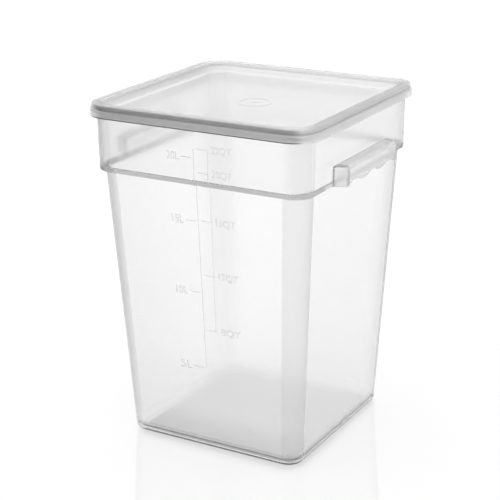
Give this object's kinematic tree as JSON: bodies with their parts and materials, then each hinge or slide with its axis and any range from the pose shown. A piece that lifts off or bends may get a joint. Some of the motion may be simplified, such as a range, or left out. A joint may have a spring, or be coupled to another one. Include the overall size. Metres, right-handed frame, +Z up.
{
  "type": "food storage container",
  "caption": "Tall square tapered food storage tub with a stepped collar, hollow scalloped side handles and a recessed lid that clips over its lip.",
  "frame": {"origin": "middle of the base, on the surface that the tub stands on", "axes": "+Z up through the mouth, +X towards one handle, -Y the face that carries the volume scale"},
  "size_m": [0.3006, 0.286, 0.4026],
  "materials": {
    "tub": "translucent natural polypropylene, moulded satin with a soft sheen",
    "lid": "translucent natural polypropylene, moulded satin"
  },
  "bodies": {
    "container": {"container_tub": "tub"},
    "lid": {"snap_lid": "lid"}
  },
  "joints": [
    {"name": "lid_lift", "type": "slide", "parent": "container", "child": "lid", "axis": [0, 0, 1], "range_m": [0, 0.12]}
  ]
}
